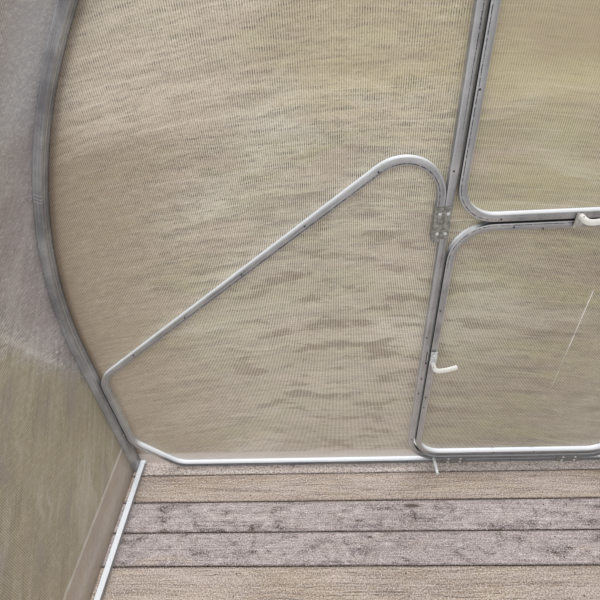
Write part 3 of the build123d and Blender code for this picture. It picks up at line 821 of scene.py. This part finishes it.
tubeSizes = {"side": 0.02, "half": 0.01, "roll": 0.095, "frameRoll": 0.121, "archDepth": 0.04, "archStep": 2,
             "braceAngle": 37.3, "loopTail": 1.013, "footReach": 0.184, "sharpOver": 24}
tubeTree = tubeRecipe()
tubeMetal = {"frame": tubeFinish("jambTube", tubeLook, swept=True, seamAt=0.0040, darkSide=1),
             "leaf": tubeFinish("leafTube", tubeLook, swept=True, seamAt=-0.0045, darkSide=-1),
             "leftLoop": tubeFinish("leftLoopTube", tubeLook, swept=True, inward=-1, seamAt=0.0052),
             "rightLoop": tubeFinish("rightLoopTube", tubeLook, swept=True, seamAt=0.0052),
             "arch": tubeFinish("archTube", tubeLook, swept=True, wide=True)}


def tubePiece(name, node, path, body, offset, metal, depth=tubeSizes["side"], closed=False, cuts=()):
    sizes = {"Width": tubeSizes["side"], "Depth": depth, "Offset": offset}
    piece = cook(name, path, tubeTree, tubeMetal[metal], sizes, body)
    closeTube(piece.data, closed)
    for outline, y0, y1 in cuts:
        cutAway(piece, outline, y0, y1)
    piece.data.shade_smooth()
    piece.data.set_sharp_from_angle(angle=math.radians(tubeSizes["sharpOver"]))
    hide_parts(node)


def closedPath(name, node, roll):
    low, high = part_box(node)
    inset = tubeSizes["half"]
    side, bottom, top = high.x - inset, low.z + inset, high.z - inset
    corners = [(-side, bottom), (-side, top), (side, top), (side, bottom)]
    return flatPath(name, corners, roll, closed=True)


def archPath(name):
    low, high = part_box("end_arch")
    radius = high.x - tubeSizes["half"]
    springing = high.z - high.x
    steps = round(180 / tubeSizes["archStep"])
    spots = [(-radius, low.z, 0)]
    for k in range(steps + 1):
        angle = math.pi - math.pi * k / steps
        spots.append((radius * math.cos(angle), springing + radius * math.sin(angle), 0))
    spots.append((radius, low.z, 0))
    mesh = bpy.data.meshes.new(name)
    mesh.from_pydata(spots, [(k, k + 1) for k in range(len(spots) - 1)], [])
    return mesh


def loopPath(name, side):
    low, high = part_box("left_brace_loop")
    half, roll = tubeSizes["half"], tubeSizes["roll"]
    leg = -low.x - half
    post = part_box("door_frame")[1].x + half
    angle = math.radians(tubeSizes["braceAngle"])
    apex = high.z - half - roll + roll / math.tan((math.pi / 2 - angle) / 2)
    shoulder = apex - (leg - post) * math.tan(angle)
    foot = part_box("end_arch")[1].x - tubeSizes["footReach"]
    low = floorTop + half
    points = [(-post, floorTop + tubeSizes["loopTail"]), (-post, apex), (-leg, shoulder),
              (-leg, low + leg - foot), (-foot, low), (high.x, low)]
    return flatPath(name, [(side * x, z) for x, z in points], roll)


# the slot that the lower latch's tongue drops behind, and the drilled ways for the two spindles
openings = {"strikeDrop": 0.010, "strikeHeight": 0.055, "strikeWidth": 0.006, "strikeDepth": 0.008,
            "overcut": 0.001, "tongueTail": 0.009, "wayRadius": 0.00699, "wayFrom": -0.02, "wayTo": 0.06}
lowerTongue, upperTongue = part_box("lower_latch_tongue"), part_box("upper_latch_tongue")
lowerSpindle = ((lowerTongue[0].x + lowerTongue[1].x) / 2, lowerTongue[0].z + openings["tongueTail"])
upperSpindle = ((upperTongue[0].x + upperTongue[1].x) / 2, upperTongue[1].z - openings["tongueTail"])
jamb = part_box("door_frame")[0].x + tubeSizes["side"]


def strikeCut():
    low = lowerSpindle[1] - openings["strikeDrop"]
    high = low + openings["strikeHeight"]
    back, face = jamb - openings["strikeWidth"], jamb + openings["overcut"]
    outline = [(back, low), (face, low), (face, high), (back, high)]
    return outline, -openings["overcut"], openings["strikeDepth"]


def wayCut(spindle):
    radius = openings["wayRadius"]
    turns = [math.radians(22.5 + 45 * k) for k in range(8)]
    outline = [(spindle[0] + radius * math.cos(turn), spindle[1] + radius * math.sin(turn)) for turn in turns]
    return outline, openings["wayFrom"], openings["wayTo"]


# the node that each closed tube replaces, its corners' roll, its body, its metal and its cut
closedTubes = {
    "doorFrameTube": ("door_frame", "frameRoll", "section", "frame", strikeCut()),
    "lowerLeafTube": ("lower_leaf_frame", "roll", "lower_leaf", "leaf", wayCut(lowerSpindle)),
    "upperLeafTube": ("upper_leaf_frame", "roll", "section", "leaf", wayCut(upperSpindle))}
for name, (node, roll, body, metal, cut) in closedTubes.items():
    path = closedPath(name + "Path", node, tubeSizes[roll])
    tubePiece(name, node, path, body, tubeSizes["half"], metal, closed=True, cuts=[cut])
for side, hand in ((1, "left"), (-1, "right")):
    path = loopPath(hand + "Path", side)
    tubePiece(hand + "LoopTube", hand + "_brace_loop", path, "section", tubeSizes["half"], hand + "Loop")
for name in ("end_arch", "middle_arch", "joint_arch"):
    middle = (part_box(name)[0].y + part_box(name)[1].y) / 2
    tubePiece(name.replace("_a", "A") + "Tube", name, archPath(name + "Path"), "section", middle, "arch",
              depth=tubeSizes["archDepth"])
print("tubes rolled")


# Screws, washers and nails: a head on a washer at every marked point
def fixingRecipe(name, headSides, washerSides):
    made = Recipe(name, Head=0.004, Rise=0.0035, Washer=0.007, Thick=0.0016)

    def disc(sides, radius, height, lift):
        values = {"Vertices": sides, "Radius": radius, "Depth": height}
        drum = made.add("GeometryNodeMeshCylinder", {}, values, out="Mesh")
        move = made.add("ShaderNodeCombineXYZ", {}, {"Z": height * 0.5 + lift})
        return made.add("GeometryNodeTransform", {}, {"Geometry": drum, "Translation": move})

    thick = made.given("Thick")
    head = disc(headSides, made.given("Head"), made.given("Rise"), thick)
    ring = disc(washerSides, made.given("Washer"), thick, 0.0)
    facing = made.add("GeometryNodeInputNamedAttribute", {"data_type": "FLOAT_VECTOR"}, {"Name": "facing"})
    turned = made.add("FunctionNodeAlignRotationToVector", {"axis": "Z"}, {"Vector": facing})
    places = {"Points": made.given("Geometry"), "Instance": made.join(head, ring), "Rotation": turned}
    return made.serve(made.add("GeometryNodeInstanceOnPoints", {}, places))


screwTree = fixingRecipe("screwOnWasher", 6, 12)
nailTree = fixingRecipe("nailHead", 10, 10)
tipSteel = plateFinish("screwTips", (0.16, 0.15, 0.14), (0.05, 0.05, 0.05), 0.6, 0.5)
washerZinc = plateFinish("washerZinc", (0.62, 0.63, 0.62), (0.42, 0.42, 0.42), 0.8, 0.35)
fixingSizes = {
    "wallHead": {"Head": 0.0042, "Rise": 0.004, "Washer": 0.008},
    "wallTip": {"Head": 0.0012, "Rise": 0.004, "Washer": 0.0024, "Thick": 0.0004},
    "coverHead": {"Head": 0.0042, "Rise": 0.004, "Washer": 0.009, "Thick": 0.002},
    "coverTip": {"Head": 0.0030, "Rise": 0.0030, "Washer": 0.0045, "Thick": 0.0006},
    "loopHead": {"Head": 0.0040, "Rise": 0.0040, "Washer": 0.0062},
    "leverScrew": {"Head": 0.0012, "Rise": 0.0002, "Washer": 0.0019, "Thick": 0.0002},
    "deckNail": {"Head": 0.0014, "Rise": 0.0002, "Washer": 0.0026, "Thick": 0.0002}}


def fixings(name, marks, tree, finish, size, body="section"):
    mesh = bpy.data.meshes.new(name + "Marks")
    mesh.from_pydata([spot for spot, facing in marks], [], [])
    facing = mesh.attributes.new("facing", "FLOAT_VECTOR", "POINT")
    for entry, (spot, way) in zip(facing.data, marks):
        entry.vector = way
    cook(name, mesh, tree, finish, fixingSizes[size], body)


# screws whose tips show in the photograph, as x and the height over the floor
seenScrews = {
    "post": [(-0.397, 1.200), (-0.400, 0.679), (-0.395, 0.495), (-0.397, 0.422)],
    "brace": [(-0.749, 1.075), (-0.570, 1.207)],
    "lower": [(-0.226, 1.046), (-0.153, 1.039), (-0.372, 0.783), (-0.371, 0.400), (-0.371, 0.346),
              (-0.075, 0.067)],
    "upper": [(-0.370, 1.373), (-0.262, 1.070)],
}
# screws that carry the same spacing on to where the photograph doesn't reach or is unclear
guessedScrews = {
    "post": [(-0.395, 1.62), (-0.395, 0.16)],
    "brace": [(-0.93, 0.935), (-1.12, 0.790), (-1.32, 0.640)],
    "sill": [(-1.20, 0.010), (-0.80, 0.010), (-0.40, 0.010)],
    "upper": [(-0.369, 1.700), (-0.150, 1.914)],
}
# the wall sheet's outer face and the tubes' face to the room, each with a hair of clearance
wallFaces = {"outer": 0.0241, "inner": -0.0001}


def wallScrews(groups, body, name):
    spots = [place for group in groups for place in seenScrews.get(group, []) + guessedScrews.get(group, [])]
    both = [(side * x, z + floorTop) for x, z in spots for side in (1, -1)]
    heads = [((x, wallFaces["outer"], z), (0, 1, 0)) for x, z in both]
    tips = [((x, wallFaces["inner"], z), (0, -1, 0)) for x, z in both]
    fixings(name + "Heads", heads, screwTree, washerZinc, "wallHead", body)
    fixings(name + "Tips", tips, nailTree, tipSteel, "wallTip", body)


wallScrews(("post", "brace", "sill", "upper"), "section", "wallScrew")
wallScrews(("lower",), "lower_leaf", "leafScrew")

coverScrews = {"angles": range(-78, 79, 12), "legHeights": (0.12, 0.38), "radius": 1.5041}
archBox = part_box("end_arch")
springing = archBox[1].z - archBox[1].x
marks = []
for arch in ("end_arch", "middle_arch", "joint_arch"):
    low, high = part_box(arch)
    y = (low.y + high.y) / 2
    for degrees in coverScrews["angles"]:
        way = Vector((math.sin(math.radians(degrees)), 0, math.cos(math.radians(degrees))))
        marks.append((Vector((0, y, springing)) + way * coverScrews["radius"], way))
    for height in coverScrews["legHeights"]:
        for side in (-1, 1):
            marks.append((Vector((side * coverScrews["radius"], y, floorTop + height)), Vector((side, 0, 0))))
fixings("coverScrews", marks, screwTree, washerZinc, "coverHead")

# each entry is a place and the way the fixing faces: two screw ends through the cover, a screw that holds
# each loop to the end arch, and the set screws in the two levers
smallMarks = {
    "coverTips": [((-1.3937, -0.0402, 1.3333), (0.92, 0, -0.38)), ((-1.4994, -0.0285, 0.800), (1, 0, 0))],
    "loopScrews": [((side * 1.4799, -0.008, 0.368), (-side, 0, 0)) for side in (-1, 1)],
    "lowerLeverScrew": [((-0.3733, -0.0317, 0.7133), (-0.69, -0.14, 0.71))],
    "upperLeverScrew": [((-0.0780, -0.0241, 1.2147), (-0.53, 0, 0.85))],
}
fixings("coverTips", smallMarks["coverTips"], nailTree, washerZinc, "coverTip")
fixings("loopScrews", smallMarks["loopScrews"], screwTree, washerZinc, "loopHead")
for lever in ("lower", "upper"):
    name = lever + "LeverScrew"
    fixings(name, smallMarks[name], nailTree, tipSteel, "leverScrew", lever + "_latch")

# two nails in each plank over each bearer, a little out of line
deckNails = {"inset": 0.022, "bearerEnd": 1.57, "bearerPitch": 0.545, "stray": 0.010, "rowWave": 5.1,
             "bearerWave": 2.7, "skew": 0.004, "skewWave": 90, "lift": 0.0001}
lastBearer = deckNails["bearerEnd"]
bearers = [-lastBearer + deckNails["bearerPitch"] * k for k in range(6)] + [lastBearer]
marks = []
row = 0
while timberLook["edge"] - row * timberLook["pitch"] - timberLook["width"] > cadLow.y - deckNails["stray"]:
    outer = timberLook["edge"] - row * timberLook["pitch"] - deckNails["inset"]
    for index, x in enumerate(bearers):
        wander = deckNails["stray"] * math.sin(row * deckNails["rowWave"] + index * deckNails["bearerWave"])
        for y in (outer, outer - timberLook["width"] + 2 * deckNails["inset"]):
            skew = deckNails["skew"] * math.sin(y * deckNails["skewWave"])
            marks.append(((x + wander + skew, y, floorTop + deckNails["lift"]), (0, 0, 1)))
    row += 1
fixings("deckNails", marks, nailTree, tipSteel, "deckNail")
print("fixings placed")


# a thin strip on the lower leaf's outer face closes the meeting gap and leaves the upper leaf clear
meetingStrip = {"reach": 0.3785, "lap": 0.010, "rise": 0.0044, "thick": 0.0018, "ease": 0.0005,
                "tone": (0.74, 0.71, 0.63), "dirt": (0.46, 0.42, 0.34)}


def meetingPiece(look):
    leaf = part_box("lower_leaf_sheet")
    low, high = leaf[1].z - look["lap"], leaf[1].z + look["rise"]
    y0, y1 = leaf[1].y + 0.0001, leaf[1].y + look["thick"]
    shape = bmesh.new()
    outline = ((y0, low), (y1, low), (y1, high), (y0, high))
    ring = [shape.verts.new((-look["reach"], y, z)) for y, z in outline]
    drawn = bmesh.ops.extrude_face_region(shape, geom=[shape.faces.new(ring)])
    moved = [part for part in drawn["geom"] if isinstance(part, bmesh.types.BMVert)]
    bmesh.ops.translate(shape, verts=moved, vec=(2 * look["reach"], 0, 0))
    bmesh.ops.bevel(shape, geom=list(shape.edges), offset=look["ease"], segments=2, profile=0.5,
                    affect="EDGES")
    bmesh.ops.recalc_face_normals(shape, faces=shape.faces)
    mesh = bpy.data.meshes.new("meetingStrip")
    shape.to_mesh(mesh)
    shape.free()
    made = Finish("meetingStrip", look, IOR=1.5)
    dirt = made.drawn(made.x * 60.0, made.y * 300.0, made.z * 300.0, 4.0, 0.6)
    made.set("Base Color", made.blend(made.ramp(dirt, 0.40, 0.66) * 0.7, look["tone"], look["dirt"]))
    made.set("Roughness", 0.55 + dirt * 0.2)
    made.bump(dirt, 0.2, 0.0004)
    placed("meetingStrip", mesh, made.material, "lower_leaf")


meetingPiece(meetingStrip)
print("meeting strip placed")


def makeStage(look):
    size = look["floorReach"]
    mesh = bpy.data.meshes.new("studioFloor")
    corners = [(-size, -size, 0), (size, -size, 0), (size, size, 0), (-size, size, 0)]
    mesh.from_pydata(corners, [], [(0, 1, 2, 3)])
    ground = shown("studioFloor", mesh)
    made = Finish("studioFloor", look, Roughness=0.9)
    made.set("Base Color", look["floorColour"])
    mesh.materials.append(made.material)
    ground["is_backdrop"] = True
    world = bpy.data.worlds.new("studioLight")
    world.use_nodes = True
    bpy.context.scene.world = world
    tree = world.node_tree
    back = next(n for n in tree.nodes if n.type == "BACKGROUND")
    feed(tree, back.inputs["Color"], look["worldColour"])
    path = tree.nodes.new("ShaderNodeLightPath")
    rays = ("Is Camera Ray", "Is Glossy Ray", "Is Transmission Ray")
    seen, shine, through = (Wire(path.outputs[ray]) for ray in rays)
    clear = seen.most(shine).most(through)
    feed(tree, back.inputs["Strength"], clear * (look["backdrop"] - look["world"]) + look["world"])


makeCamera(cameraView)
makeStage(studio)
addSun("keyLight", studio["keyStrength"], studio["keyFrom"], studio["keySpread"])
addSun("fillLight", studio["fillStrength"], studio["fillFrom"], studio["fillSpread"])
bpy.context.scene.view_settings.view_transform = "Standard"

low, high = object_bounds()
print("scene ready")
